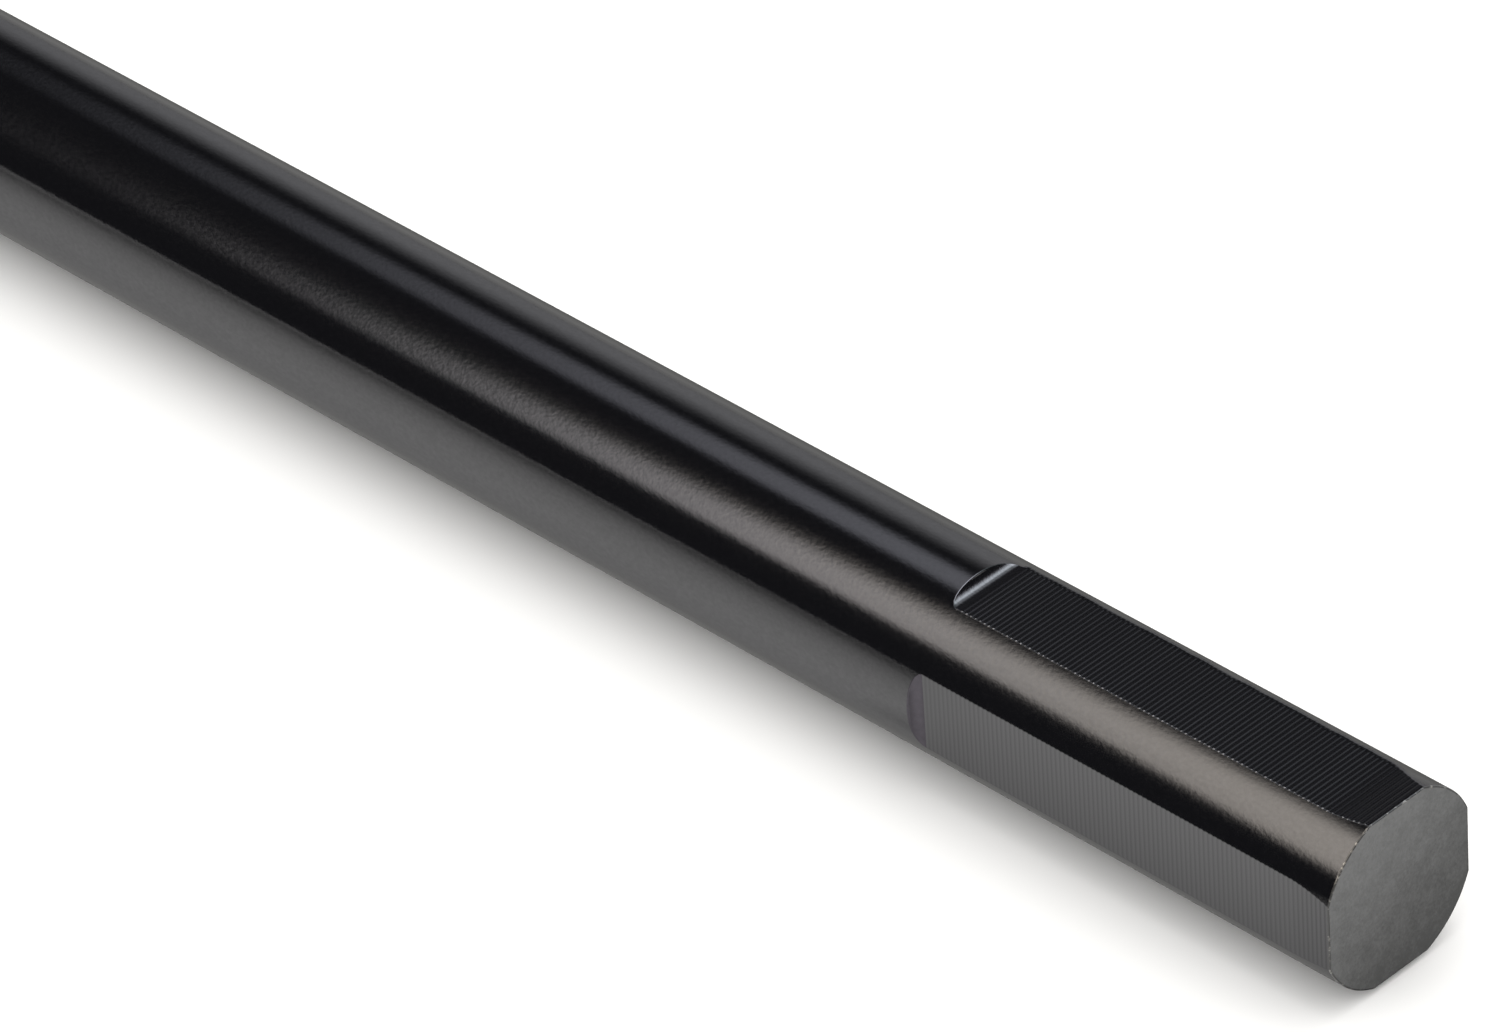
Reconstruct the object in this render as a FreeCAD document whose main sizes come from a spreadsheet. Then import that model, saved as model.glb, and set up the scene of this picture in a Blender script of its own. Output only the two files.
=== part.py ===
"""Carpenter's bit extension bar: a round steel bar whose drive end has four milled flats, with a
socket nose on a pinned spigot at the other end, where two grub screws hold the bit's shank.

Frame: the bar lies along X on the plane Z = 0, its flatted drive end at +X and the socket's mouth at -X.
The origin is on that plane, halfway along the bar. Lengths are in millimetres.
"""

import FreeCAD, Part
import math
import os

import Sketcher

SHEET = "dimensions"

# Name, size in mm (or degrees), what it is.
DRIVING_DIMENSIONS = [
    ("bar_diameter", 12.7, "bar stock and outside of the socket nose"),
    ("overall_length", 304.8, "mouth of the socket to the drive end"),
    ("rim_chamfer", 0.1, "broken edge round the sawn drive end"),
    ("flat_length", 32.6, "drive end to the heel of a flat"),
    ("flat_depth", 0.6, "depth of a flat below the round bar"),
    ("flat_end_depth", 0.43, "depth of a flat at the drive end, where the bar sprang off the cutter"),
    ("flat_runout", 3.0, "length over which a flat rises to its end depth"),
    ("cove_radius", 0.8, "corner radius the cutter leaves at the heel"),
    ("cutter_clearance", 2.0, "how far the cutter's path stands clear of the bar"),
    ("nose_length", 50.0, "socket nose, end to end"),
    ("nose_mouth_chamfer", 0.8, "chamfer outside the socket's mouth"),
    ("seam_chamfer", 0.25, "chamfer on each side of the seam between nose and bar"),
    ("socket_diameter", 6.4, "bore for a 1/4 in. (6.35 mm) bit shank"),
    ("socket_depth", 28.0, "mouth to the bottom of the socket"),
    ("socket_lead_in", 0.5, "chamfer inside the socket's mouth"),
    ("spigot_diameter", 9.0, "turned end of the bar inside the nose"),
    ("spigot_length", 19.0, "shoulder to the end of the spigot"),
    ("spigot_chamfer", 0.5, "lead-in on the end of the spigot"),
    ("spigot_well_depth", 19.5, "counterbore in the nose for the spigot"),
    ("pin_diameter", 3.0, "spring pin and its cross hole"),
    ("pin_wall", 0.5, "sheet thickness of the spring pin"),
    ("pin_slot", 0.6, "gap along the closed spring pin"),
    ("pin_length", 11.6, "spring pin, end to end"),
    ("pin_setback", 9.5, "shoulder of the bar to the pin's axis"),
    ("grub_diameter", 4.0, "M4 grub screw"),
    ("grub_thread_gap", 0.04, "radial gap between the screw and its tapped hole"),
    ("grub_length", 2.5, "grub screw, end to end"),
    ("grub_chamfer", 0.3, "chamfer at both ends of the screw"),
    ("grub_tip_gap", 0.08, "tip of a backed-off screw to the socket's wall"),
    ("grub_cup_diameter", 2.0, "rim of the cup point"),
    ("grub_cup_depth", 0.4, "depth of the cup point"),
    ("key_width", 2.0, "across the flats of the hex recess"),
    ("key_depth", 1.2, "depth of the hex recess"),
    ("first_grub_place", 9.0, "socket's mouth to the first grub screw"),
    ("grub_spacing", 10.0, "first grub screw to the second"),
    ("tap_chamfer", 0.35, "countersink at the mouth of a tapped hole"),
]

FLATS = 4
GRUB_SCREWS = 2

# How near a point must be to a place, in mm, to count as being there.
TOLERANCE = 1e-3

doc = FreeCAD.newDocument("bit_extension_bar")


def fill_sheet():
    """The spreadsheet that every sketch and feature is bound to."""
    sheet = doc.addObject("Spreadsheet::Sheet", SHEET)
    for row, (alias, size, meaning) in enumerate(DRIVING_DIMENSIONS, start=1):
        sheet.set(f"A{row}", meaning)
        sheet.set(f"B{row}", str(size))
        sheet.setAlias(f"B{row}", alias)
    doc.recompute()
    return sheet


sheet = fill_sheet()


def bound(formula):
    """The formula with each dimension's name written as a reference to the sheet."""
    words = []
    for word in formula.split():
        known = any(word == alias for alias, _, _ in DRIVING_DIMENSIONS)
        words.append(f"<<{SHEET}>>.{word}" if known else word)
    return " ".join(words)


def value(formula):
    """The formula's value in millimetres."""
    return float(sheet.evalExpression(bound(formula)))


def new_body(name):
    """A PartDesign body whose label names its STEP file, standing on the bar's axis."""
    body = doc.addObject("PartDesign::Body", name)
    body.Label = name
    body.setExpression("Placement.Base.z", bound("bar_diameter / 2"))
    return body


def origin_feature(body, role):
    return next(f for f in body.Origin.OriginFeatures if f.Role == role)


def new_sketch(body, plane, name, offset=None):
    """A sketch on one of the body's own origin planes, moved off it by a formula where one is given."""
    sketch = body.newObject("Sketcher::SketchObject", name)
    sketch.AttachmentSupport = [(origin_feature(body, plane), "")]
    sketch.MapMode = "FlatFace"
    if offset is not None:
        sketch.setExpression("AttachmentOffset.Base.z", bound(offset))
    return sketch


def drive(sketch, kind, places, formula):
    """A dimensional constraint bound to the sheet."""
    index = sketch.addConstraint(Sketcher.Constraint(kind, *places, value(formula)))
    sketch.setExpression(f"Constraints[{index}]", bound(formula))


X_AXIS_LINE, Y_AXIS_LINE, ORIGIN_POINT = -1, -2, (-1, 1)


def fix_point(sketch, place, x, y):
    """Holds a sketch point at formulas x and y from the sketch's origin."""
    if value(x):
        drive(sketch, "DistanceX", (*ORIGIN_POINT, *place), x)
    else:
        sketch.addConstraint(Sketcher.Constraint("PointOnObject", *place, Y_AXIS_LINE))
    if value(y):
        drive(sketch, "DistanceY", (*ORIGIN_POINT, *place), y)
    else:
        sketch.addConstraint(Sketcher.Constraint("PointOnObject", *place, X_AXIS_LINE))


def vector(x, y):
    return FreeCAD.Vector(value(x), value(y), 0)


def draw_outline(sketch, corners):
    """A closed outline of straight lines through corners given as pairs of formulas."""
    count = len(corners)
    for i, corner in enumerate(corners):
        sketch.addGeometry(Part.LineSegment(vector(*corner), vector(*corners[(i + 1) % count])))
    for i in range(count):
        sketch.addConstraint(Sketcher.Constraint("Coincident", i, 2, (i + 1) % count, 1))
    for i, corner in enumerate(corners):
        fix_point(sketch, (i, 1), *corner)


def draw_circle(sketch, x, y, radius):
    circle = Part.Circle(vector(x, y), FreeCAD.Vector(0, 0, 1), value(radius))
    index = sketch.addGeometry(circle)
    fix_point(sketch, (index, 3), x, y)
    drive(sketch, "Radius", (index,), radius)


def revolve(body, sketch, name, axis="X_Axis"):
    """Turns the sketch a full circle round one of the body's axes."""
    feature = body.newObject("PartDesign::Revolution", name)
    feature.Profile = sketch
    feature.ReferenceAxis = (origin_feature(body, axis), [""])
    feature.Angle = 360
    return feature


def pocket(body, sketch, name, length=None, reverse=False):
    """Cuts the sketch away, through everything on both sides unless a length is given."""
    feature = body.newObject("PartDesign::Pocket", name)
    feature.Profile = sketch
    if length is None:
        feature.Type = "ThroughAll"
        feature.SideType = "Symmetric"
    else:
        feature.Type = "Length"
        feature.setExpression("Length", bound(length))
        feature.Reversed = reverse
    return feature


def chamfer(body, base, edges, size, name):
    feature = body.newObject("PartDesign::Chamfer", name)
    feature.Base = (base, edges)
    feature.setExpression("Size", bound(size))
    return feature


def edges_where(feature, test):
    """Names of the feature's edges whose middle passes the test."""
    found = []
    for number, edge in enumerate(feature.Shape.Edges, start=1):
        middle = edge.valueAt((edge.FirstParameter + edge.LastParameter) / 2)
        if test(middle):
            found.append(f"Edge{number}")
    return found


DRIVE_END = "overall_length / 2"
MOUTH = "0 - overall_length / 2"
SHOULDER = MOUTH + " + nose_length"
BAR_RADIUS = "bar_diameter / 2"


def make_shank_bar():
    """The bar: a turned spigot at one end, four milled flats at the other."""
    body = new_body("shank_bar")
    spigot_end = SHOULDER + " - spigot_length"
    spigot_radius = "spigot_diameter / 2"
    profile = new_sketch(body, "XZ_Plane", "bar_profile")
    draw_outline(
        profile,
        [
            (spigot_end, "0"),
            (DRIVE_END, "0"),
            (DRIVE_END, BAR_RADIUS),
            (SHOULDER + " + seam_chamfer", BAR_RADIUS),
            (SHOULDER, BAR_RADIUS + " - seam_chamfer"),
            (SHOULDER, spigot_radius),
            (spigot_end + " + spigot_chamfer", spigot_radius),
            (spigot_end, spigot_radius + " - spigot_chamfer"),
        ],
    )
    revolve(body, profile, "bar_turning")
    doc.recompute()

    flat_cut = pocket(body, flat_profile(body), "flat_cut")
    flats = body.newObject("PartDesign::PolarPattern", "four_flats")
    flats.Originals = [flat_cut]
    flats.Axis = (origin_feature(body, "X_Axis"), [""])
    flats.Angle = 360
    flats.Occurrences = FLATS
    body.Tip = flats
    doc.recompute()

    pocket(body, pin_circle(body), "pin_hole")
    doc.recompute()

    drive_end = value(DRIVE_END)
    rim = edges_where(body.Tip, lambda middle: abs(middle.x - drive_end) < TOLERANCE)
    chamfer(body, body.Tip, rim, "rim_chamfer", "broken_rim")
    return body


def flat_profile(body):
    """The path of the cutter seen from the side: a floor that rises a little at the drive end and a cove at
    the heel."""
    heel = DRIVE_END + " - flat_length"
    past_end = DRIVE_END + " + cutter_clearance"
    above = BAR_RADIUS + " + cutter_clearance"
    floor = BAR_RADIUS + " - flat_depth"
    end_floor = BAR_RADIUS + " - flat_end_depth"
    cove_end = heel + " + cove_radius"
    cove_top = floor + " + cove_radius"
    sketch = new_sketch(body, "XZ_Plane", "flat_profile")
    path = [
        (heel, cove_top),
        (heel, above),
        (past_end, above),
        (past_end, end_floor),
        (DRIVE_END, end_floor),
        (DRIVE_END + " - flat_runout", floor),
        (cove_end, floor),
    ]
    for start, end in zip(path, path[1:]):
        sketch.addGeometry(Part.LineSegment(vector(*start), vector(*end)))
    circle = Part.Circle(vector(cove_end, cove_top), FreeCAD.Vector(0, 0, 1), value("cove_radius"))
    cove = sketch.addGeometry(Part.ArcOfCircle(circle, math.pi, 1.5 * math.pi))
    last = cove - 1
    for i in range(last):
        sketch.addConstraint(Sketcher.Constraint("Coincident", i, 2, i + 1, 1))
    sketch.addConstraint(Sketcher.Constraint("Tangent", last, 2, cove, 2))
    sketch.addConstraint(Sketcher.Constraint("Tangent", 0, 1, cove, 1))
    drive(sketch, "Radius", (cove,), "cove_radius")
    for i, corner in enumerate(path[1:], start=1):
        if i < last:
            fix_point(sketch, (i, 1), *corner)
    fix_point(sketch, (last, 1), *path[last])
    sketch.addConstraint(Sketcher.Constraint("Horizontal", last))
    sketch.addConstraint(Sketcher.Constraint("Vertical", 0))
    return sketch


def pin_circle(body):
    """The spring pin's hole, across the nose and the spigot."""
    sketch = new_sketch(body, "XZ_Plane", "pin_circle")
    draw_circle(sketch, SHOULDER + " - pin_setback", "0", "pin_diameter / 2")
    return sketch


def make_socket_nose():
    """The nose: a tube as thick as the bar, bored for the bit in front and for the spigot behind."""
    body = new_body("socket_nose")
    socket_radius = "socket_diameter / 2"
    well_radius = "spigot_diameter / 2"
    well_bottom = SHOULDER + " - spigot_well_depth"
    socket_bottom = MOUTH + " + socket_depth"
    profile = new_sketch(body, "XZ_Plane", "nose_profile")
    draw_outline(
        profile,
        [
            (MOUTH, socket_radius + " + socket_lead_in"),
            (MOUTH, BAR_RADIUS + " - nose_mouth_chamfer"),
            (MOUTH + " + nose_mouth_chamfer", BAR_RADIUS),
            (SHOULDER + " - seam_chamfer", BAR_RADIUS),
            (SHOULDER, BAR_RADIUS + " - seam_chamfer"),
            (SHOULDER, well_radius),
            (well_bottom, well_radius),
            (well_bottom, "0"),
            (socket_bottom, "0"),
            (socket_bottom, socket_radius),
            (MOUTH + " + socket_lead_in", socket_radius),
        ],
    )
    revolve(body, profile, "nose_turning")
    doc.recompute()

    pocket(body, pin_circle(body), "pin_hole")
    for number in range(GRUB_SCREWS):
        tapped_hole(body, number)
    return body


def grub_place(number):
    return f"{MOUTH} + first_grub_place + {number} * grub_spacing"


def tapped_hole(body, number):
    """One grub screw's hole, from the socket out through the top of the nose, with its countersink."""
    hole = new_sketch(body, "XY_Plane", f"tap_circle_{number + 1}")
    draw_circle(hole, grub_place(number), "0", "grub_diameter / 2 + grub_thread_gap")
    pocket(body, hole, f"tapped_hole_{number + 1}", length=BAR_RADIUS + " + cutter_clearance", reverse=True)
    doc.recompute()

    screw_radius = value("grub_diameter / 2 + grub_thread_gap")
    place = value(grub_place(number))

    def at_mouth(middle):
        across = ((middle.x - place) ** 2 + middle.y**2) ** 0.5
        return abs(across - screw_radius) < TOLERANCE and middle.z > value("spigot_diameter / 2")

    chamfer(body, body.Tip, edges_where(body.Tip, at_mouth), "tap_chamfer", f"countersink_{number + 1}")
    doc.recompute()


def make_spring_pin():
    """The slotted spring pin that holds the nose on the spigot."""
    body = new_body("spring_pin")
    place = SHOULDER + " - pin_setback"
    ring = new_sketch(body, "XZ_Plane", "pin_ring")
    draw_circle(ring, place, "0", "pin_diameter / 2")
    draw_circle(ring, place, "0", "pin_diameter / 2 - pin_wall")
    pad = body.newObject("PartDesign::Pad", "pin_tube")
    pad.Profile = ring
    pad.SideType = "Symmetric"
    pad.setExpression("Length", bound("pin_length"))
    doc.recompute()

    slot = new_sketch(body, "XZ_Plane", "pin_slot_outline")
    left = place + " - pin_slot / 2"
    right = place + " + pin_slot / 2"
    draw_outline(slot, [(left, "0"), (right, "0"), (right, "pin_diameter"), (left, "pin_diameter")])
    pocket(body, slot, "pin_slot_cut")
    return body


def make_grub_screw(number):
    """A backed-off grub screw: hex recess on top, cup point towards the socket."""
    body = new_body(f"grub_screw_{number + 1}")
    body.setExpression("Placement.Base.x", bound(grub_place(number)))
    tip = "socket_diameter / 2 + grub_tip_gap"
    top = tip + " + grub_length"
    radius = "grub_diameter / 2"
    profile = new_sketch(body, "XZ_Plane", "screw_profile")
    draw_outline(
        profile,
        [
            ("0", tip + " + grub_cup_depth"),
            ("grub_cup_diameter / 2", tip),
            (radius + " - grub_chamfer", tip),
            (radius, tip + " + grub_chamfer"),
            (radius, top + " - grub_chamfer"),
            (radius + " - grub_chamfer", top),
            ("0", top),
        ],
    )
    revolve(body, profile, "screw_turning", axis="Z_Axis")
    doc.recompute()

    recess = new_sketch(body, "XY_Plane", "key_outline", offset=top)
    half_width = "key_width / 2"
    corner_radius = half_width + " / cos(30deg)"
    draw_outline(
        recess,
        [
            (corner_radius, "0"),
            (corner_radius + " / 2", half_width),
            ("0 - " + corner_radius + " / 2", half_width),
            ("0 - " + corner_radius, "0"),
            ("0 - " + corner_radius + " / 2", "0 - " + half_width),
            (corner_radius + " / 2", "0 - " + half_width),
        ],
    )
    pocket(body, recess, "key_recess", length="key_depth")
    return body


def export_parts(bodies):
    """Stops on any failed object, then writes each body's shape to its own STEP file."""
    doc.recompute()
    for thing in doc.Objects:
        if {"Invalid", "Error"} & set(thing.State):
            raise RuntimeError(f"{thing.Name} failed: {thing.State}")
    for body in bodies:
        shape = body.Shape
        if shape.isNull() or not shape.isValid():
            raise RuntimeError(f"{body.Label} has no valid shape")
    os.makedirs("parts", exist_ok=True)
    for body in bodies:
        body.Shape.exportStep(f"parts/{body.Label}.step")
        print(f"{body.Label}: {body.Shape.Volume:.1f} mm3, {len(body.Shape.Solids)} solid")


export_parts(
    [
        make_shank_bar(),
        make_socket_nose(),
        make_spring_pin(),
        *[make_grub_screw(number) for number in range(GRUB_SCREWS)],
    ]
)
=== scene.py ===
import math

import bmesh
import bpy
from mathutils import Matrix, Vector, noise


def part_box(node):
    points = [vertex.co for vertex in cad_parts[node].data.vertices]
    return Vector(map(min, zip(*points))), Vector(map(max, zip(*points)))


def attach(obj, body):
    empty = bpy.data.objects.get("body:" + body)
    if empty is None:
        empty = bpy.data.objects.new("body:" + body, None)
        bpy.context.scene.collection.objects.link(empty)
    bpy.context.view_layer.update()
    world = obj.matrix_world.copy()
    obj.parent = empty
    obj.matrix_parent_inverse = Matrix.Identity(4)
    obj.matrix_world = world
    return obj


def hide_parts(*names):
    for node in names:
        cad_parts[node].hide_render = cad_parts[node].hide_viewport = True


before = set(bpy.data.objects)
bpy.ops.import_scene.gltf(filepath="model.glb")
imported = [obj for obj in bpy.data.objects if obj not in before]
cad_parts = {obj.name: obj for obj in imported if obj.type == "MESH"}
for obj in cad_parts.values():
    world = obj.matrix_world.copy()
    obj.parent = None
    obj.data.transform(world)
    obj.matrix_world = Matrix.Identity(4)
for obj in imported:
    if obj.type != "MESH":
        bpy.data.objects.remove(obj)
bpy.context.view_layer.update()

MM = 0.001

bar_low, bar_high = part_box("shank_bar")
nose_low, nose_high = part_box("socket_nose")
BAR_RADIUS = (bar_high.z - bar_low.z) / 2
AXIS_HEIGHT = (bar_high.z + bar_low.z) / 2
DRIVE_END = bar_high.x
SHOULDER = nose_high.x
SPIGOT_END = bar_low.x

# The flats, as in the CAD part.
FLAT_LENGTH = 32.6 * MM
FLAT_DEPTH = 0.6 * MM
FLAT_END_DEPTH = 0.43 * MM
FLAT_RUNOUT = 3.0 * MM
COVE_RADIUS = 0.8 * MM
RIM = 0.10 * MM
SEAM_CHAMFER = 0.25 * MM
SPIGOT_RADIUS = 4.5 * MM
SPIGOT_CHAMFER = 0.5 * MM

# The socket nose and its holes, as in the CAD part.
MOUTH = nose_low.x
MOUTH_CHAMFER = 0.8 * MM
SOCKET_RADIUS = 3.2 * MM
SOCKET_DEPTH = 28 * MM
SOCKET_LEAD_IN = 0.5 * MM
WELL_DEPTH = 19.5 * MM
PIN_RADIUS = 1.5 * MM
PIN_PLACE = SHOULDER - 9.5 * MM
TAP_RADIUS = 2.04 * MM
TAP_PLACES = (MOUTH + 9 * MM, MOUTH + 19 * MM)
THREAD_PITCH = 0.7 * MM
THREAD_GROOVE = 0.16 * MM
COUNTERSINK_DEPTH = 0.45 * MM

# The cutter's marks across each flat.
RIDGE_PITCH = 0.36 * MM
RIDGE_HEIGHT = 0.018 * MM
STATIONS_PER_RIDGE = 6
RIDGE_SHIFT = 0.37  # of a pitch, from one flat's ridges to the next flat's

# The burr that the cutter rolled out along the top flat's far edge, level with its floor.
BURR_REACH = 0.42 * MM
BURR_FALL = math.radians(2.6)

FLOOR_APOTHEM = BAR_RADIUS - FLAT_DEPTH
FLOOR_HALF_ANGLE = math.acos(FLOOR_APOTHEM / BAR_RADIUS)
EDGE_ROUNDING = 0.055 * MM

DARK_METAL = (0.112, 0.112, 0.116, 1)
# The coves' darker, purple-tinted metal is painted shade in the side and bottom flats' heel coves.
COVE_SHADE_METAL = (0.080, 0.074, 0.086, 1)
EDGE_ON_TINT = (0.49, 0.49, 0.49, 1)


# Geometry -----------------------------------------------------------------------------------------------

def smoothstep(x):
    x = max(0.0, min(1.0, x))
    return x * x * (3 - 2 * x)


def ring_columns():
    """The columns round the bar as (quarter, is_flat, share). A flat's share runs over -1 to 1 across it,
    and an arc's over 0 to 1 to the next flat. Close pairs of columns at each edge round it off."""
    tight_flat = EDGE_ROUNDING / (BAR_RADIUS * math.sin(FLOOR_HALF_ANGLE))
    tight_arc = EDGE_ROUNDING / (BAR_RADIUS * (math.pi / 2 - 2 * FLOOR_HALF_ANGLE))
    across = [-1, -1 + tight_flat, *[i / 7 for i in range(-6, 7)], 1 - tight_flat]
    around = [0, tight_arc, *[i / 20 for i in range(1, 19)], 0.917, 0.95, 1 - tight_arc]
    return [
        (quarter, is_flat, share)
        for quarter in range(4)
        for is_flat, shares in ((True, across), (False, around))
        for share in shares
    ]


COLUMNS = ring_columns()


def column_angle(quarter, is_flat, share, half_angle=FLOOR_HALF_ANGLE, next_half_angle=FLOOR_HALF_ANGLE):
    """Angle round the bar, from straight up, of a column at a place where its flat and the next one span
    those half-angles."""
    middle = quarter * math.pi / 2
    if is_flat:
        across = BAR_RADIUS * math.sin(half_angle) * share
        return middle + math.atan2(across, BAR_RADIUS * math.cos(half_angle))
    return middle + half_angle + (math.pi / 2 - half_angle - next_half_angle) * share


def on_bar(inward, angle, radius):
    """The point at a distance inward of the drive end, an angle from straight up, and a radius."""
    return (DRIVE_END - inward, -radius * math.sin(angle), AXIS_HEIGHT + radius * math.cos(angle))


def floor_apothem(inward, quarter):
    """Distance from the axis to a flat's floor, with the cutter's ridges and the rise at the drive end."""
    rise = (FLAT_DEPTH - FLAT_END_DEPTH) * max(0.0, 1 - inward / FLAT_RUNOUT) ** 1.5
    ridge = inward / RIDGE_PITCH + RIDGE_SHIFT * quarter
    number = math.floor(ridge)
    scallop = (2 * (ridge - number) - 1) ** 2
    uneven = 0.94 + 0.12 * noise.noise((number * 0.83, quarter * 5.1, 0.4))
    taller = 1 + 0.3 * smoothstep(1 - inward / FLAT_RUNOUT)
    fade = smoothstep((FLAT_LENGTH - COVE_RADIUS - inward) / (2 * RIDGE_PITCH))
    return FLOOR_APOTHEM + rise + RIDGE_HEIGHT * scallop * uneven * taller * fade


def burr_radius(inward, angle):
    """Radius of the bar just past the top flat's far edge, where the burr stands out from it. angle is
    measured from straight up. The floor's ridges run on over the burr, which fades out at both ends."""
    uneven = 0.92 + 0.16 * noise.noise((inward * 700, 3.3, 0.0))
    heel = FLAT_LENGTH - COVE_RADIUS
    start = smoothstep((inward - 0.8 * MM) / (2 * MM))
    end = smoothstep((heel - inward) / (0.5 * MM))
    apothem = floor_apothem(inward, 0)
    edge = math.sqrt(BAR_RADIUS**2 - apothem**2)
    tip_angle = math.atan2(edge + BURR_REACH * uneven * start * end, apothem)
    if angle < tip_angle:
        return apothem / math.cos(angle)
    tip_radius = apothem / math.cos(tip_angle)
    fall = min(1.0, (angle - tip_angle) / BURR_FALL)
    return tip_radius + (BAR_RADIUS - tip_radius) * fall


def flatted_ring(inward, shrink=0.0, depth=None):
    """A ring of points through the flatted end. shrink draws it in, as for the rim's rounding."""
    place = inward if depth is None else depth
    apothems = [floor_apothem(place, quarter) for quarter in range(4)]
    half_angles = [math.acos(min(1.0, apothem / BAR_RADIUS)) for apothem in apothems]
    points = []
    for quarter, is_flat, share in COLUMNS:
        apothem = apothems[quarter]
        angle = column_angle(quarter, is_flat, share, half_angles[quarter], half_angles[(quarter + 1) % 4])
        local = angle - quarter * math.pi / 2
        radius = apothem / math.cos(local) if is_flat else BAR_RADIUS
        if quarter == 3 and not is_flat and share > 0.5:
            radius = max(radius, burr_radius(inward, 2 * math.pi - angle))
        points.append(on_bar(inward, angle, radius - shrink))
    return points


def cove_ring(share):
    """A ring part of the way up the coves at the flats' heels. Each column climbs its own stretch of cove."""
    start = FLAT_LENGTH - COVE_RADIUS
    points = []
    for quarter, is_flat, place in COLUMNS:
        angle = column_angle(quarter, is_flat, place)
        local = angle - quarter * math.pi / 2
        climb = BAR_RADIUS * math.cos(local) - FLOOR_APOTHEM if is_flat else 0.0
        turn = share * math.acos(max(-1.0, 1 - max(climb, 0.0) / COVE_RADIUS))
        inward = start + COVE_RADIUS * math.sin(turn) + share * 0.01 * MM
        apothem = FLOOR_APOTHEM + COVE_RADIUS * (1 - math.cos(turn))
        radius = min(BAR_RADIUS, apothem / math.cos(local)) if is_flat else BAR_RADIUS
        points.append(on_bar(inward, angle, radius))
    return points


def heel_ring(beyond):
    """A ring on the round bar that follows the coves' outline a little way beyond it."""
    points = []
    for (quarter, is_flat, place), top in zip(COLUMNS, cove_ring(1.0)):
        angle = column_angle(quarter, is_flat, place)
        points.append(on_bar(DRIVE_END - top[0] + beyond, angle, BAR_RADIUS))
    return points


def round_ring(inward, radius):
    return [on_bar(inward, column_angle(*column), radius) for column in COLUMNS]


def end_ring(scale):
    """A ring on the sawn face, drawn in towards the middle, with the saw's slight hollows."""
    points = []
    for x, y, z in flatted_ring(0.0, shrink=RIM * 1.04, depth=0.0):
        y, z = y * scale, AXIS_HEIGHT + (z - AXIS_HEIGHT) * scale
        hollow = 0.5 + 0.5 * noise.noise((y * 620, z * 620, 1.7))
        points.append((x - 0.012 * MM * hollow * smoothstep((1 - scale) * 6), y, z))
    return points


def rim_rings():
    """The broken edge round the sawn face, a little uneven, as a file leaves it."""
    rings = []
    for step in range(5):
        turn = step / 4 * math.pi / 2
        inward = RIM * (1 - math.sin(turn))
        ring = []
        for x, y, z in flatted_ring(inward):
            height = z - AXIS_HEIGHT
            radius = math.hypot(y, height)
            coarse = noise.noise((y * 1900, height * 1900, 2.2))
            fine = noise.noise((y * 5200, height * 5200, 7.9))
            rough = coarse + 0.6 * fine
            cut = RIM * (1 - math.cos(turn)) * (1 + 0.16 * rough * (step not in (0, 4)))
            scale = 1 - cut / radius
            ring.append((x, y * scale, AXIS_HEIGHT + height * scale))
        rings.append(ring)
    return rings


def spread(start, stop, step):
    count = max(1, round((stop - start) / step))
    return [start + (stop - start) * i / count for i in range(count + 1)]


def bar_rings():
    """Every ring of the bar, from the middle of the sawn face to the end of the spigot, and the numbers of
    the rings where its parts begin."""
    full = BAR_RADIUS
    shoulder = DRIVE_END - SHOULDER
    spigot = DRIVE_END - SPIGOT_END
    face = [end_ring(i / 14) for i in range(1, 14)] + [end_ring(0.993)]
    rim = list(reversed(rim_rings()))
    flats = spread(RIM, FLAT_LENGTH - COVE_RADIUS, RIDGE_PITCH / STATIONS_PER_RIDGE)[1:-1]
    coves = [cove_ring(i / 16) for i in range(17)]
    heel = [heel_ring(EDGE_ROUNDING), heel_ring(0.12 * MM)]
    seam = shoulder - SEAM_CHAMFER
    plain = [round_ring(s, full) for s in spread(FLAT_LENGTH + 0.6 * MM, seam - 4 * EDGE_ROUNDING, 8 * MM)]
    tail = [
        round_ring(seam - EDGE_ROUNDING, full),
        round_ring(seam + EDGE_ROUNDING * 0.7, full - EDGE_ROUNDING * 0.7),
        round_ring(shoulder, full - SEAM_CHAMFER),
        round_ring(shoulder, SPIGOT_RADIUS + EDGE_ROUNDING),
        round_ring(shoulder + EDGE_ROUNDING, SPIGOT_RADIUS),
        round_ring(spigot - SPIGOT_CHAMFER, SPIGOT_RADIUS),
        round_ring(spigot, SPIGOT_RADIUS - SPIGOT_CHAMFER),
    ]
    rings = face + rim + [flatted_ring(s) for s in flats] + coves + heel + plain + tail
    marks = {"rim": len(face), "flats": len(face) + len(rim), "heel": len(face) + len(rim) + len(flats)}
    marks["plain"] = marks["heel"] + len(coves)
    return rings, marks


def lofted(name, rings, start, end):
    """A closed mesh through the rings, with a point closing each end."""
    width = len(rings[0])
    points = [point for ring in rings for point in ring] + [start, end]
    faces = []
    for i in range(len(rings) - 1):
        low, high = i * width, (i + 1) * width
        for j in range(width):
            k = (j + 1) % width
            faces.append((low + j, low + k, high + k, high + j))
    last = (len(rings) - 1) * width
    first_cap = len(faces)
    faces += [(len(points) - 2, (j + 1) % width, j) for j in range(width)]
    faces += [(len(points) - 1, last + j, last + (j + 1) % width) for j in range(width)]
    mesh = bpy.data.meshes.new(name)
    mesh.from_pydata(points, [], faces)
    mesh.validate()
    thing = bpy.data.objects.new(name, mesh)
    bpy.context.scene.collection.objects.link(thing)
    for face in mesh.polygons:
        face.use_smooth = True
    return thing, width, first_cap


def face_outwards(thing):
    """Turns the mesh's faces outwards if its volume comes out negative."""
    work = bmesh.new()
    work.from_mesh(thing.data)
    if work.calc_volume(signed=True) < 0:
        bmesh.ops.reverse_faces(work, faces=work.faces)
    work.to_mesh(thing.data)
    work.free()


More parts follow.
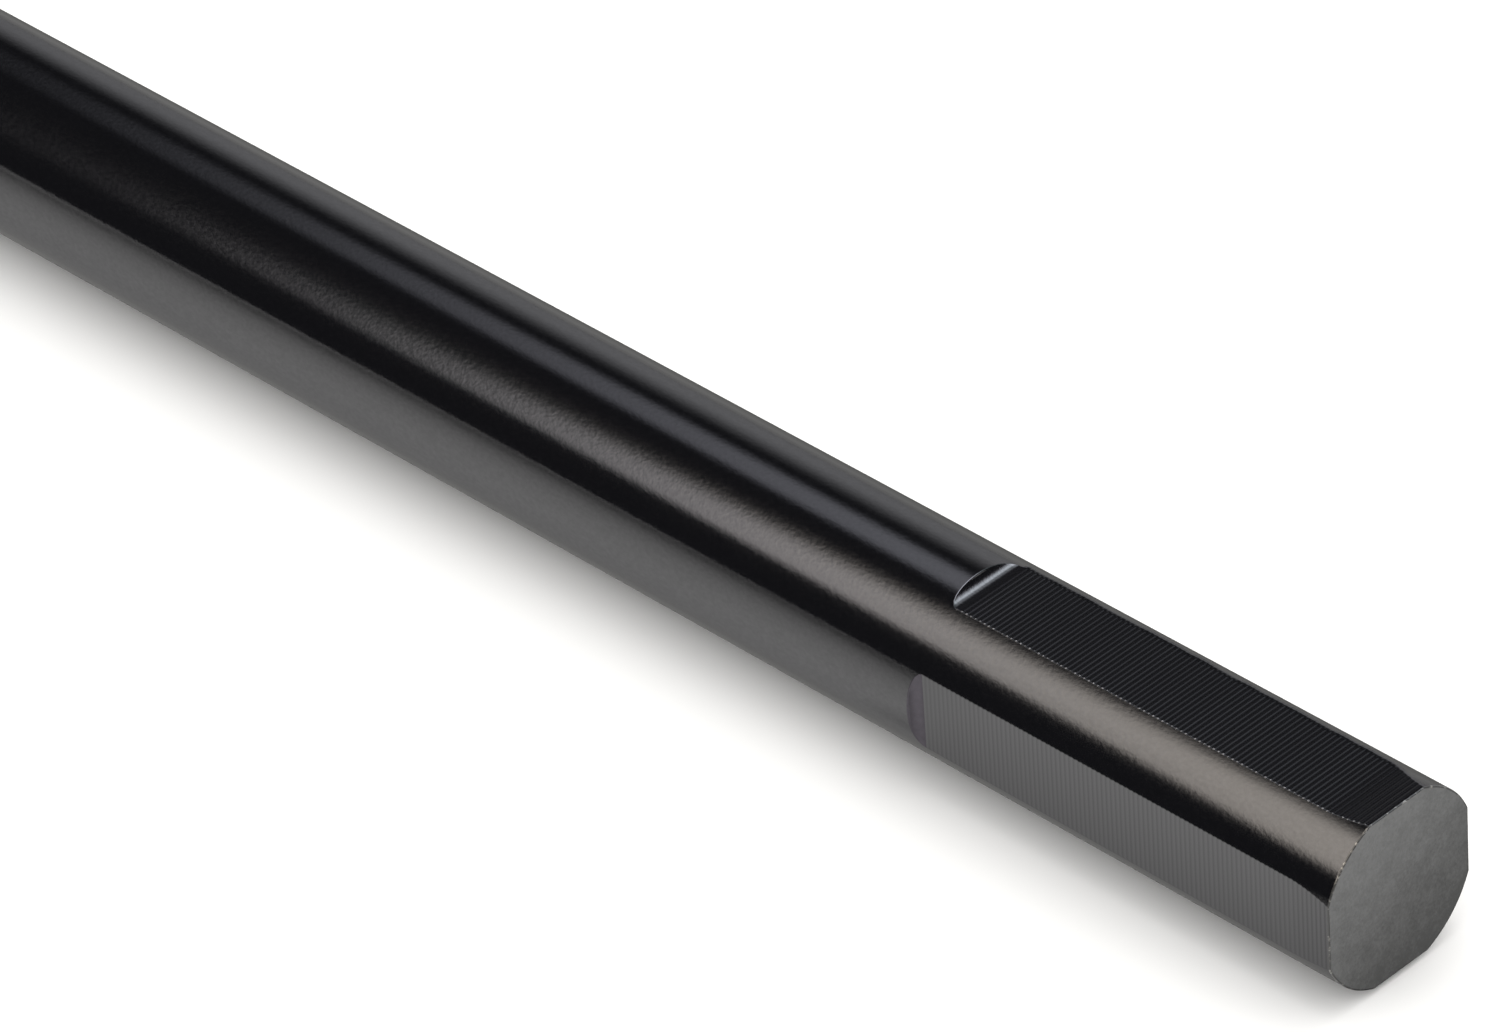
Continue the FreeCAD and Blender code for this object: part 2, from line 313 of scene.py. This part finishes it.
# Materials ----------------------------------------------------------------------------------------------

def new_material(name):
    """A material with its shader, and a helper that adds nodes to it."""
    material = bpy.data.materials.new(name)
    material.use_nodes = True
    tree = material.node_tree
    shader = tree.nodes["Principled BSDF"]

    def add(kind, **values):
        node = tree.nodes.new(kind)
        for key, value in values.items():
            if key in node.inputs:
                node.inputs[key].default_value = value
            else:
                setattr(node, key, value)
        return node

    return material, tree, shader, add


def stretched_noise(tree, add, scale, stretch, detail=4.0):
    """Noise in the part's own coordinates, drawn out along the bar."""
    place = add("ShaderNodeTexCoord")
    mapping = add("ShaderNodeMapping")
    mapping.inputs["Scale"].default_value = (stretch, 1, 1)
    tree.links.new(place.outputs["Object"], mapping.inputs["Vector"])
    grain = add("ShaderNodeTexNoise", Scale=scale, Detail=detail, Roughness=0.6)
    tree.links.new(mapping.outputs["Vector"], grain.inputs["Vector"])
    return grain


def remap(tree, add, source, low, high, from_low=0.3, from_high=0.7):
    span = add("ShaderNodeMapRange")
    span.inputs["From Min"].default_value = from_low
    span.inputs["From Max"].default_value = from_high
    span.inputs["To Min"].default_value = low
    span.inputs["To Max"].default_value = high
    tree.links.new(source, span.inputs["Value"])
    return span.outputs["Result"]


def bump(tree, add, shader, source, strength, distance):
    node = add("ShaderNodeBump", Strength=strength, Distance=distance)
    tree.links.new(source, node.inputs["Height"])
    tree.links.new(node.outputs["Normal"], shader.inputs["Normal"])


def colour_between(tree, add, shader, source, dark, light):
    ramp = add("ShaderNodeValToRGB")
    ramp.color_ramp.elements[0].position = 0.35
    ramp.color_ramp.elements[0].color = dark
    ramp.color_ramp.elements[1].position = 0.68
    ramp.color_ramp.elements[1].color = light
    tree.links.new(source, ramp.inputs["Fac"])
    tree.links.new(ramp.outputs["Color"], shader.inputs["Base Color"])


def scaled(colour, factor):
    return (colour[0] * factor, colour[1] * factor, colour[2] * factor, 1)


def black_bar_material(name, roughness, colour, grain_scale, stretch, depth):
    """Blackened drawn steel: dark metal with a dull sheen, and fine drawn-out grain."""
    material, tree, shader, add = new_material(name)
    shader.inputs["Metallic"].default_value = 1.0
    shader.inputs["Specular Tint"].default_value = EDGE_ON_TINT
    grain = stretched_noise(tree, add, grain_scale, stretch)
    colour_between(tree, add, shader, grain.outputs["Fac"], scaled(colour, 0.93), scaled(colour, 1.07))
    tree.links.new(
        remap(tree, add, grain.outputs["Fac"], roughness - 0.02, roughness + 0.02), shader.inputs["Roughness"]
    )
    bump(tree, add, shader, grain.outputs["Fac"], 0.25, depth)
    return material


def milled_material():
    """The flats' floors: the bar's black, in faint lighter and darker lines across them at the cutter's ridge
    pitch.
    """
    material, tree, shader, add = new_material("milled_black")
    shader.inputs["Metallic"].default_value = 1.0
    shader.inputs["Specular Tint"].default_value = EDGE_ON_TINT
    shader.inputs["Roughness"].default_value = 0.15
    place = add("ShaderNodeTexCoord")
    split = add("ShaderNodeSeparateXYZ")
    tree.links.new(place.outputs["Object"], split.inputs["Vector"])
    turns = add("ShaderNodeMath", operation="MULTIPLY")
    turns.inputs[1].default_value = 2 * math.pi / RIDGE_PITCH
    tree.links.new(split.outputs["X"], turns.inputs[0])
    wave = add("ShaderNodeMath", operation="SINE")
    tree.links.new(turns.outputs["Value"], wave.inputs[0])
    grain = stretched_noise(tree, add, 900, 0.6)
    both = add("ShaderNodeMath", operation="MULTIPLY")
    tree.links.new(wave.outputs["Value"], both.inputs[0])
    tree.links.new(grain.outputs["Fac"], both.inputs[1])
    tone = remap(tree, add, both.outputs["Value"], 0.30, 0.72, -0.5, 0.5)
    colour_between(tree, add, shader, tone, scaled(DARK_METAL, 0.93), scaled(DARK_METAL, 1.07))
    bump(tree, add, shader, grain.outputs["Fac"], 0.2, 0.000003)
    return material


def edge_material():
    """A flat's long edge, brighter metal where each of the cutter's ridges meets it: a painted highlight
    standing in for the glints of the edge's beads.
    """
    material, tree, shader, add = new_material("painted_highlight_edge")
    shader.inputs["Metallic"].default_value = 1.0
    shader.inputs["Roughness"].default_value = 0.34
    crest = add("ShaderNodeAttribute", attribute_name="crest")
    grain = stretched_noise(tree, add, 3000, 1.0)
    patchy = remap(tree, add, grain.outputs["Fac"], 0.35, 1.15, 0.35, 0.6)
    both = add("ShaderNodeMath", operation="MULTIPLY")
    tree.links.new(crest.outputs["Fac"], both.inputs[0])
    tree.links.new(patchy, both.inputs[1])
    # The bright colour at the ridges' crests is a painted highlight for the glints of the edge's beads.
    colour_between(tree, add, shader, both.outputs["Value"], (0.09, 0.09, 0.092, 1), (0.52, 0.51, 0.50, 1))
    return material


def sawn_material():
    """The sawn end: matt grey steel, faintly mottled, and lighter towards its top and towards -Y."""
    material, tree, shader, add = new_material("sawn_end")
    shader.inputs["Metallic"].default_value = 0.0
    shader.inputs["Specular IOR Level"].default_value = 0.3
    shader.inputs["Roughness"].default_value = 0.62
    mottle = stretched_noise(tree, add, 700, 1.0, detail=12.0)
    flecks = stretched_noise(tree, add, 5200, 1.0, detail=4.0)
    place = add("ShaderNodeTexCoord")
    split = add("ShaderNodeSeparateXYZ")
    tree.links.new(place.outputs["Object"], split.inputs["Vector"])
    low, high = AXIS_HEIGHT - BAR_RADIUS, AXIS_HEIGHT + BAR_RADIUS
    # The face's colour grows lighter towards its top and towards -Y.
    height = remap(tree, add, split.outputs["Z"], -0.16, 0.16, low, high)
    across = remap(tree, add, split.outputs["Y"], 0.07, -0.07, -BAR_RADIUS, BAR_RADIUS)
    total = remap(tree, add, mottle.outputs["Fac"], 0.44, 0.56)
    for part in (height, across, remap(tree, add, flecks.outputs["Fac"], -0.07, 0.07)):
        joined = add("ShaderNodeMath", operation="ADD")
        tree.links.new(total, joined.inputs[0])
        tree.links.new(part, joined.inputs[1])
        total = joined.outputs["Value"]
    colour_between(tree, add, shader, total, (0.060, 0.0605, 0.0595, 1), (0.124, 0.125, 0.125, 1))
    bump(tree, add, shader, flecks.outputs["Fac"], 0.35, 0.00002)
    return material


def rim_material():
    """The broken rim: black finish chipped through to bare metal in specks, their brightness partly a painted
    highlight for the glints off the burr.
    """
    material, tree, shader, add = new_material("worn_rim_and_glints")
    shader.inputs["Metallic"].default_value = 1.0
    shader.inputs["Roughness"].default_value = 0.38
    wear = stretched_noise(tree, add, 2600, 1.0, detail=5.0)
    # The ramp's bright end is bare metal where the finish is chipped, made brighter as a painted highlight
    # for the burr's glints.
    ramp = add("ShaderNodeValToRGB")
    ramp.color_ramp.elements[0].position = 0.54
    ramp.color_ramp.elements[0].color = (0.10, 0.10, 0.10, 1)
    ramp.color_ramp.elements[1].position = 0.70
    ramp.color_ramp.elements[1].color = (0.42, 0.41, 0.39, 1)
    tree.links.new(wear.outputs["Fac"], ramp.inputs["Fac"])
    tree.links.new(ramp.outputs["Color"], shader.inputs["Base Color"])
    bump(tree, add, shader, wear.outputs["Fac"], 0.3, 0.00003)
    return material


def steel_material(name, colour, roughness):
    """Plain turned or rolled steel for the small parts."""
    material, tree, shader, add = new_material(name)
    shader.inputs["Metallic"].default_value = 1.0
    grain = stretched_noise(tree, add, 1800, 1.0)
    colour_between(tree, add, shader, grain.outputs["Fac"], scaled(colour, 0.8), scaled(colour, 1.15))
    tree.links.new(
        remap(tree, add, grain.outputs["Fac"], roughness - 0.06, roughness + 0.08), shader.inputs["Roughness"]
    )
    bump(tree, add, shader, grain.outputs["Fac"], 0.2, 0.00002)
    return material


round_black = black_bar_material("round_black", 0.12, DARK_METAL, 4200, 0.7, 0.000020)
milled_black = milled_material()
sawn_end = sawn_material()
worn_rim_and_glints = rim_material()
# Painted shade: a darker, purple-tinted metal for the shade in the side and bottom flats' heel coves.
cove_shaded_black = black_bar_material("cove_shaded_black", 0.18, COVE_SHADE_METAL, 2400, 1.0, 0.000003)
painted_highlight_edge = edge_material()
pin_steel = steel_material("pin_steel", (0.42, 0.42, 0.43), 0.34)
screw_steel = steel_material("screw_steel", (0.10, 0.10, 0.106), 0.36)


# Pieces -------------------------------------------------------------------------------------------------

def store_crests(bar, rings, width):
    """Stores at each point how near it is to the crest of one of the cutter's ridges."""
    crest = bar.data.attributes.new("crest", "FLOAT", "POINT")
    for i in range(rings * width):
        quarter = COLUMNS[i % width][0]
        ridge = (DRIVE_END - bar.data.vertices[i].co.x) / RIDGE_PITCH + RIDGE_SHIFT * quarter
        crest.data[i].value = (2 * (ridge - math.floor(ridge)) - 1) ** 2


def make_bar():
    rings, marks = bar_rings()
    middle = (DRIVE_END - 0.006 * MM, 0, AXIS_HEIGHT)
    bar, width, first_cap = lofted("bar_detailed", rings, middle, (SPIGOT_END, 0, AXIS_HEIGHT))
    for material in (round_black, milled_black, sawn_end, worn_rim_and_glints, cove_shaded_black, painted_highlight_edge):
        bar.data.materials.append(material)
    store_crests(bar, len(rings), width)
    for face in bar.data.polygons:
        ring, column = divmod(face.index, width)
        is_flat = COLUMNS[column][1]
        top = COLUMNS[column][0] == 0
        last_of_flat = is_flat and not COLUMNS[(column + 1) % width][1]
        first_of_arc = not is_flat and COLUMNS[column][2] == 0
        if face.index >= first_cap:
            face.material_index = 2 if face.index < first_cap + width else 0
        elif ring < marks["rim"]:
            face.material_index = 2
        # The rim takes the chipped metal with its painted glints.
        elif ring < marks["flats"] - 1:
            face.material_index = 3
        # The top flat's long edges take the painted crest highlights.
        elif ring < marks["heel"] and top and (last_of_flat or first_of_arc):
            face.material_index = 5
        elif ring < marks["heel"] and is_flat:
            face.material_index = 1
        # The side and bottom flats' heel coves take the painted shade.
        elif ring < marks["plain"] and is_flat and not top:
            face.material_index = 4
    face_outwards(bar)
    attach(bar, "bar")
    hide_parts("shank_bar")


def rounded(profile, size):
    """The profile with each of its corners cut off small, so that edges catch the light."""
    points = [profile[0]]
    for before, corner, after in zip(profile, profile[1:], profile[2:]):
        first, last = (corner + (side - corner).normalized() * size for side in (before, after))
        points += [first, (first + last + 2 * corner) / 4, last]
    return points + [profile[-1]]


def turned(x, radius, around):
    """A ring of a turned piece on the bar's axis."""
    return [on_bar(DRIVE_END - x, 2 * math.pi * i / around, radius) for i in range(around)]


def cut(thing, tools):
    """Cuts the tools' shapes out of a piece and removes the tools."""
    for tool in tools:
        modifier = thing.modifiers.new("cut", "BOOLEAN")
        modifier.operation = "DIFFERENCE"
        modifier.solver = "EXACT"
        modifier.object = tool
    bpy.context.view_layer.update()
    result = bpy.data.meshes.new_from_object(thing.evaluated_get(bpy.context.evaluated_depsgraph_get()))
    thing.modifiers.clear()
    thing.data = result
    for tool in tools:
        bpy.data.objects.remove(tool)


def tap_tool(x):
    """The shape of a tapped hole, with the thread's grooves and the countersink."""
    around = 64
    bottom = AXIS_HEIGHT + 1.0 * MM
    top = AXIS_HEIGHT + BAR_RADIUS + 0.3 * MM
    countersink = AXIS_HEIGHT + BAR_RADIUS - COUNTERSINK_DEPTH
    rings = []
    count = round((top - bottom) / (THREAD_PITCH / 10))
    for step in range(count + 1):
        height = bottom + (top - bottom) * step / count
        ring = []
        for i in range(around):
            angle = 2 * math.pi * i / around
            phase = (height / THREAD_PITCH - angle / (2 * math.pi)) % 1.0
            radius = TAP_RADIUS + THREAD_GROOVE * (0.5 - 0.5 * math.cos(2 * math.pi * phase))
            radius = max(radius, TAP_RADIUS + height - countersink)
            ring.append((x + radius * math.cos(angle), radius * math.sin(angle), height))
        rings.append(ring)
    tool, _, _ = lofted("tap_tool", rings, (x, 0, bottom), (x, 0, top))
    face_outwards(tool)
    return tool


def pin_tool():
    """The shape of the pin's cross hole."""
    around = 64
    reach = BAR_RADIUS + 1 * MM
    rings = [
        [
            (PIN_PLACE + PIN_RADIUS * math.cos(a), y, AXIS_HEIGHT + PIN_RADIUS * math.sin(a))
            for a in (2 * math.pi * i / around for i in range(around))
        ]
        for y in (-reach, reach)
    ]
    tool, _, _ = lofted("pin_tool", rings, (PIN_PLACE, -reach, AXIS_HEIGHT), (PIN_PLACE, reach, AXIS_HEIGHT))
    face_outwards(tool)
    return tool


def make_nose():
    """The socket nose: a turned sleeve with two tapped holes and the pin's hole."""
    around = 160
    longest = 0.7 * MM
    well_bottom = SHOULDER - WELL_DEPTH
    socket_bottom = MOUTH + SOCKET_DEPTH
    outline = [
        (well_bottom, SPIGOT_RADIUS * 0.2),
        (well_bottom, SPIGOT_RADIUS),
        (SHOULDER, SPIGOT_RADIUS),
        (SHOULDER, BAR_RADIUS - SEAM_CHAMFER),
        (SHOULDER - SEAM_CHAMFER, BAR_RADIUS),
        (MOUTH + MOUTH_CHAMFER, BAR_RADIUS),
        (MOUTH, BAR_RADIUS - MOUTH_CHAMFER),
        (MOUTH, SOCKET_RADIUS + SOCKET_LEAD_IN),
        (MOUTH + SOCKET_LEAD_IN, SOCKET_RADIUS),
        (socket_bottom, SOCKET_RADIUS),
        (socket_bottom, SOCKET_RADIUS * 0.2),
    ]
    corners = rounded([Vector(corner) for corner in outline], EDGE_ROUNDING)
    points = [corners[0]]
    for start, end in zip(corners, corners[1:]):
        count = max(1, math.ceil((end - start).length / longest))
        points += [start.lerp(end, i / count) for i in range(1, count + 1)]
    rings = [turned(x, radius, around) for x, radius in points]
    ends = ((well_bottom, 0, AXIS_HEIGHT), (socket_bottom, 0, AXIS_HEIGHT))
    nose, _, _ = lofted("socket_nose_detailed", rings, *ends)
    face_outwards(nose)
    nose.data.materials.append(round_black)
    cut(nose, [pin_tool(), *(tap_tool(place) for place in TAP_PLACES)])
    sharpen(nose, 30)
    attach(nose, "bar")
    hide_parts("socket_nose")


def make_screw(node, body):
    """A grub screw with a real helical thread, a hex recess and a cup point."""
    low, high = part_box(node)
    centre = (low + high) / 2
    length = high.z - low.z
    crest = (high.x - low.x) / 2
    root = crest - 0.38 * MM
    pitch = THREAD_PITCH
    around = 72
    along = 84
    key = 1.0 * MM
    key_depth = 1.2 * MM
    cup = 1.0 * MM
    cup_depth = 0.4 * MM
    taper = 0.3 * MM

    def circle(radius, height):
        return [
            (centre.x + radius * math.cos(a), centre.y + radius * math.sin(a), height)
            for a in (2 * math.pi * i / around for i in range(around))
        ]

    def hexagon(half_width, height):
        points = []
        for i in range(around):
            a = 2 * math.pi * i / around
            shape = half_width / math.cos((a + math.pi / 3) % (math.pi / 3) - math.pi / 6)
            points.append((centre.x + shape * math.cos(a), centre.y + shape * math.sin(a), height))
        return points

    def threaded(height):
        above = height - low.z
        edge = min(above, length - above)
        limit = crest - taper + min(taper, edge)
        points = []
        for i in range(around):
            a = 2 * math.pi * i / around
            phase = (above / pitch - a / (2 * math.pi)) % 1.0
            ridge = min(1.0, max(0.0, 1.35 - 2.7 * abs(phase - 0.5)))
            radius = min(limit, root + (crest - root) * ridge)
            points.append((centre.x + radius * math.cos(a), centre.y + radius * math.sin(a), height))
        return points

    rings = [circle(cup * 0.25, low.z + cup_depth * 0.75), circle(cup * 0.94, low.z + cup_depth * 0.06)]
    rings += [circle(cup, low.z), circle(cup + 0.06 * MM, low.z)]
    rings += [threaded(low.z + length * i / along) for i in range(along + 1)]
    rings += [hexagon(key + 0.12 * MM, high.z), hexagon(key + 0.03 * MM, high.z - 0.02 * MM)]
    rings += [hexagon(key, high.z - 0.08 * MM), hexagon(key, high.z - key_depth + 0.04 * MM)]
    rings += [hexagon(key * 0.94, high.z - key_depth)]
    bottom = (centre.x, centre.y, low.z + cup_depth)
    floor = (centre.x, centre.y, high.z - key_depth)
    screw, _, _ = lofted(node + "_threaded", rings, bottom, floor)
    screw.data.materials.append(screw_steel)
    face_outwards(screw)
    sharpen(screw, 38)
    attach(screw, body)
    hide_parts(node)


def sharpen(thing, degrees):
    """Marks the edges that bend more than an angle as sharp, so that the rest can be shaded smooth."""
    work = bmesh.new()
    work.from_mesh(thing.data)
    for edge in work.edges:
        edge.smooth = len(edge.link_faces) == 2 and edge.calc_face_angle() < math.radians(degrees)
    work.to_mesh(thing.data)
    work.free()


def finish_cad_node(node, material, rounding):
    """Gives a CAD node its material and a small rounding on its edges."""
    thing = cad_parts[node]
    thing.data.materials.clear()
    thing.data.materials.append(material)
    for face in thing.data.polygons:
        face.use_smooth = True
    weld = thing.modifiers.new("weld", "WELD")
    weld.merge_threshold = 1e-7
    bevel = thing.modifiers.new("rounding", "BEVEL")
    bevel.width = rounding
    bevel.segments = 2
    bevel.limit_method = "ANGLE"
    bevel.angle_limit = math.radians(28)
    bevel.harden_normals = True


make_bar()
make_nose()
make_screw("grub_screw_1", "front_grub_screw")
make_screw("grub_screw_2", "rear_grub_screw")
finish_cad_node("spring_pin", pin_steel, 0.03 * MM)


# Stage --------------------------------------------------------------------------------------------------

def flat_sheet(name, corners, colour, roughness=0.9):
    mesh = bpy.data.meshes.new(name)
    mesh.from_pydata(corners, [], [(0, 1, 2, 3)])
    sheet = bpy.data.objects.new(name, mesh)
    bpy.context.scene.collection.objects.link(sheet)
    material, _, shader, _ = new_material(name)
    shader.inputs["Base Color"].default_value = colour
    shader.inputs["Roughness"].default_value = roughness
    shader.inputs["Specular IOR Level"].default_value = 0.0
    sheet.data.materials.append(material)
    return sheet


def glow_material():
    """Light given off in the strength stored at each vertex."""
    material = bpy.data.materials.new("glow")
    material.use_nodes = True
    tree = material.node_tree
    tree.nodes.clear()
    stored = tree.nodes.new("ShaderNodeAttribute")
    stored.attribute_name = "glow"
    emission = tree.nodes.new("ShaderNodeEmission")
    output = tree.nodes.new("ShaderNodeOutputMaterial")
    tree.links.new(stored.outputs["Color"], emission.inputs["Color"])
    tree.links.new(emission.outputs["Emission"], output.inputs["Surface"])
    return material


def glowing_grid(name, rows, columns, place, glow):
    """A sheet seen in reflections only. place and glow give a point and a colour for each row and column."""
    points = [place(row, column) for row in rows for column in columns]
    width = len(columns)
    faces = [
        (i * width + j, i * width + j + 1, (i + 1) * width + j + 1, (i + 1) * width + j)
        for i in range(len(rows) - 1)
        for j in range(width - 1)
    ]
    mesh = bpy.data.meshes.new(name)
    mesh.from_pydata(points, [], faces)
    stored = mesh.attributes.new("glow", "FLOAT_COLOR", "POINT")
    colours = [value for row in rows for column in columns for value in (*glow(row, column), 1.0)]
    stored.data.foreach_set("color", colours)
    sheet = bpy.data.objects.new(name, mesh)
    bpy.context.scene.collection.objects.link(sheet)
    sheet.data.materials.append(glow_material())
    sheet.visible_camera = False
    sheet.visible_diffuse = False
    sheet.visible_shadow = False


def band(value, start, full, full_end, end):
    """0 outside start to end, 1 between full and full_end, eased in between."""
    return smoothstep((value - start) / (full - start)) * smoothstep((end - value) / (end - full_end))


FLOOR_REACH = 3.0
TENT_RADIUS = 1.0


def tent_glow(angle, x):
    """What the bar reflects from above: a white sweep low on the far side, a cool box over the far shoulder,
    a warm box over the near one, and a small cool window ahead, which the coves reflect at full strength and
    the cutter's ridges faintly. The boxes end short of the socket, so their reflections fade out along the
    bar. angle is in degrees from straight up, towards the camera's side."""
    sweep = smoothstep((-46 - angle) / 33) * (1 - smoothstep((x - 0.45) / 0.3))
    cool_end = smoothstep((x + 0.90) / 0.36)
    cool_middle = 1.0 + 0.4 * smoothstep((x + 0.47) / 0.35) + 2.8 * smoothstep(x / 0.22)
    cool = 0.80 * cool_middle * cool_end * band(angle, -42, -28, -18, -6)
    window = 0.40 * band(x, -0.40, -0.10, 0.45, 0.70) + 0.95 * band(x, 0.0, 0.12, 0.30, 0.50)
    window *= band(angle, -54, -42, -30, -22)
    past_start = max(0.0, -0.50 - x)
    before_start = max(0.0, x + 0.50)
    slant = past_start * 100
    lower = min(6.0, before_start * 150)
    duller = 1 - 0.18 * band(x, -0.60, -0.555, -0.50, -0.47) * smoothstep((angle - 36) / 10)
    warm = 2.15 * duller * smoothstep((x + 0.78) / 0.22)
    warm *= band(angle, 4 + slant, 24 + slant, 48.5 + lower, 59.3 + lower)
    paler = smoothstep(past_start / 0.17)
    dark = 0.05
    return (
        dark + sweep + cool * 0.95 + window * 0.86 + warm,
        dark + sweep + cool * 0.96 + window + warm * (0.917 + 0.05 * paler),
        dark * 1.15 + sweep * 1.01 + cool * 1.04 + window * 1.02 + warm * (0.81 + 0.16 * paler),
    )


def tent_point(angle, x):
    turn = math.radians(angle)
    return (x, -TENT_RADIUS * math.sin(turn), AXIS_HEIGHT + TENT_RADIUS * math.cos(turn))


def floor_glow(y, x):
    """What the bar reflects from the floor: dark where it touches, brightest beside it, and duller away from
    it. Beside the side flat it brightens outwards instead, and past the bar's ends it is open floor."""
    away = abs(y) / BAR_RADIUS
    if y < 0:
        level = 1.55 / (1 + away / 5) * smoothstep((away - 0.35) / 0.75)
        beside_flat = smoothstep((x - DRIVE_END) / BAR_RADIUS + 6.5) * smoothstep((away - 0.9) / 0.4)
        brighter = max(0.6, min(1.2, 0.92 + 0.5 * (away - 1.8)))
        level *= 1 + (brighter - 1) * beside_flat * smoothstep((4.5 - away) / 1.5)
    else:
        level = 1.08 * smoothstep((away - 0.8) / 8)
    past_end = max(MOUTH - x, x - DRIVE_END) / BAR_RADIUS
    level += (1.0 - level) * smoothstep(past_end / 4)
    level = max(level, 0.03)
    return (level * 1.01, level, level * 0.975)


flat_sheet(
    "floor",
    [(-FLOOR_REACH, -FLOOR_REACH, 0), (FLOOR_REACH, -FLOOR_REACH, 0),
     (FLOOR_REACH, FLOOR_REACH, 0), (-FLOOR_REACH, FLOOR_REACH, 0)],
    (0.905, 0.897, 0.880, 1),
).visible_glossy = False

tent_angles = list(range(-90, 91))
tent_places = [i * 0.04 for i in range(-50, 51)]
glowing_grid("light_tent", tent_angles, tent_places, tent_point, tent_glow)

# Rows of the reflected floor, close together beside the bar and wider apart away from it.
steps_away = [0.0] + [0.02 * 1.09**i for i in range(1, 120)]
steps_away = [d * BAR_RADIUS for d in steps_away if d * BAR_RADIUS < TENT_RADIUS] + [TENT_RADIUS]
past_mouth = [MOUTH - i * BAR_RADIUS / 2 for i in range(10, -1, -1)]
past_drive_end = [DRIVE_END + i * BAR_RADIUS / 2 for i in range(-14, 11)]
glowing_grid(
    "floor_in_reflections",
    [-d for d in reversed(steps_away[1:])] + steps_away,
    [-2.0, *past_mouth, *past_drive_end, 2.0],
    lambda y, x: (x, y, 0.0),
    floor_glow,
)

lamp = bpy.data.lights.new("overhead", "AREA")
lamp.shape = "RECTANGLE"
lamp.size, lamp.size_y = 0.8, 0.4
lamp.energy = 1.5
overhead = bpy.data.objects.new("overhead", lamp)
bpy.context.scene.collection.objects.link(overhead)
overhead.location = (0.1, 0.1, 1.0)
overhead.rotation_euler = (-overhead.location).to_track_quat("-Z", "Y").to_euler()
overhead.visible_glossy = False
overhead.visible_camera = False

world = bpy.data.worlds.new("studio")
world.use_nodes = True
world.node_tree.nodes["Background"].inputs["Color"].default_value = (1, 1, 1, 1)
world.node_tree.nodes["Background"].inputs["Strength"].default_value = 1.42
world.cycles_visibility.glossy = False
bpy.context.scene.world = world


# Camera -------------------------------------------------------------------------------------------------

VIEW_AZIMUTH = 47.64
VIEW_ELEVATION = 36.55
VIEW_ROLL = 4.445
LENS = 212.5
CAMERA_FROM_DRIVE_END = Vector((0.26257, -0.28665, 0.31665))


def aim_camera():
    azimuth, elevation, roll = (math.radians(a) for a in (VIEW_AZIMUTH, VIEW_ELEVATION, VIEW_ROLL))
    back = Vector((math.sin(azimuth) * math.cos(elevation), -math.cos(azimuth) * math.cos(elevation),
                   math.sin(elevation)))
    level_right = Vector((0, 0, 1)).cross(back).normalized()
    level_up = back.cross(level_right)
    right = math.cos(roll) * level_right - math.sin(roll) * level_up
    up = math.cos(roll) * level_up + math.sin(roll) * level_right
    camera = bpy.data.objects.new("camera", bpy.data.cameras.new("camera"))
    bpy.context.scene.collection.objects.link(camera)
    pose = Matrix((right, up, back)).transposed().to_4x4()
    pose.translation = Vector((DRIVE_END, 0, AXIS_HEIGHT)) + CAMERA_FROM_DRIVE_END
    camera.matrix_world = pose
    camera.data.lens = LENS
    camera.data.sensor_width = 36
    camera.data.clip_start, camera.data.clip_end = 0.01, 100
    bpy.context.scene.camera = camera


aim_camera()
bpy.context.scene.view_settings.view_transform = "Standard"
